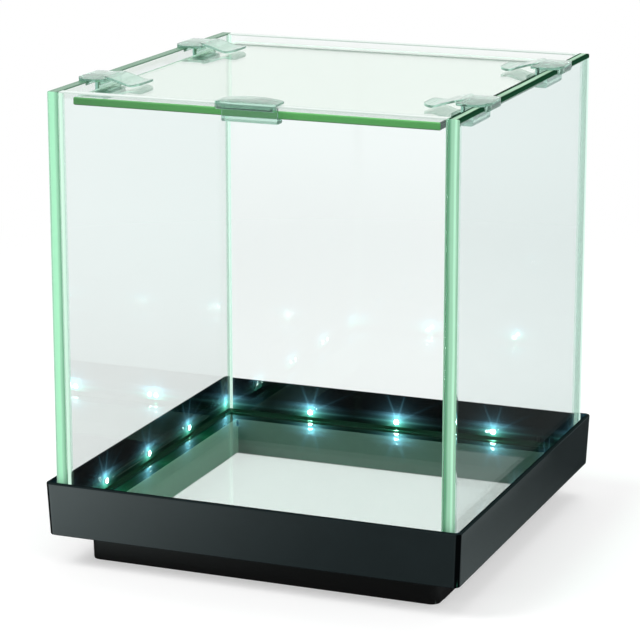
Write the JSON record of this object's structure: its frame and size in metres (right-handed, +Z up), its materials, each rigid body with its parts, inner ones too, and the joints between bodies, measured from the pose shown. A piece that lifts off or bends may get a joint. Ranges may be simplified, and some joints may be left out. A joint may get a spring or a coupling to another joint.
{
  "type": "aquarium on stand",
  "caption": "Frameless cube aquarium of clear glass in a dark illuminated tray on an inset plinth, with a cover glass held under the rim by clear plastic clips.",
  "frame": {"origin": "middle of the footprint, on the surface that the four foot pads stand on", "axes": "+Z up, -Y towards the front, +X to the right seen from the front"},
  "size_m": [0.2296, 0.2296, 0.2545],
  "materials": {
    "clear_glass": "polished float glass with green edges",
    "clear_silicone": "clear cured silicone",
    "clear_plastic": "clear moulded, glossy",
    "tray_gloss": "high gloss slate grey",
    "plinth_matt": "matt black, fine grain",
    "screw_steel": "zinc plated",
    "pad_rubber": "matt",
    "strip_circuit": "dark green flexible circuit",
    "led_lens": "white package, lit cyan white",
    "jack_plastic": "satin black",
    "pin_brass": "plain",
    "lead_insulation": "black insulation"
  },
  "bodies": {
    "base": {"tray_surround": "tray_gloss", "plinth_frame": "plinth_matt", "plinth_screw_1": "screw_steel", "plinth_screw_2": "screw_steel", "plinth_screw_3": "screw_steel", "plinth_screw_4": "screw_steel", "plinth_screw_5": "screw_steel", "plinth_screw_6": "screw_steel", "plinth_screw_7": "screw_steel", "plinth_screw_8": "screw_steel", "foot_pad_1": "pad_rubber", "foot_pad_2": "pad_rubber", "foot_pad_3": "pad_rubber", "foot_pad_4": "pad_rubber", "led_strip": "strip_circuit", "led_01": "led_lens", "led_02": "led_lens", "led_03": "led_lens", "led_04": "led_lens", "led_05": "led_lens", "led_06": "led_lens", "led_07": "led_lens", "led_08": "led_lens", "led_09": "led_lens", "led_10": "led_lens", "led_11": "led_lens", "led_12": "led_lens", "led_13": "led_lens", "led_14": "led_lens", "led_15": "led_lens", "led_16": "led_lens", "dc_jack_body": "jack_plastic", "dc_jack_pin": "pin_brass", "led_lead": "lead_insulation"},
    "tank": {"front_pane": "clear_glass", "back_pane": "clear_glass", "left_pane": "clear_glass", "right_pane": "clear_glass", "floor_pane": "clear_glass", "seam_front_left": "clear_silicone", "seam_front_right": "clear_silicone", "seam_back_left": "clear_silicone", "seam_back_right": "clear_silicone", "floor_seam": "clear_silicone"},
    "cover": {"cover_glass": "clear_glass", "rim_clip_front_left": "clear_plastic", "rim_clip_front_right": "clear_plastic", "rim_clip_back_left": "clear_plastic", "rim_clip_back_right": "clear_plastic", "front_clip": "clear_plastic"}
  },
  "joints": [
    {"name": "tank_lift", "type": "slide", "parent": "base", "child": "tank", "axis": [0, 0, 1], "range_m": [0, 0.04]},
    {"name": "cover_lift", "type": "slide", "parent": "tank", "child": "cover", "axis": [0, 0, 1], "range_m": [0, 0.03]}
  ]
}
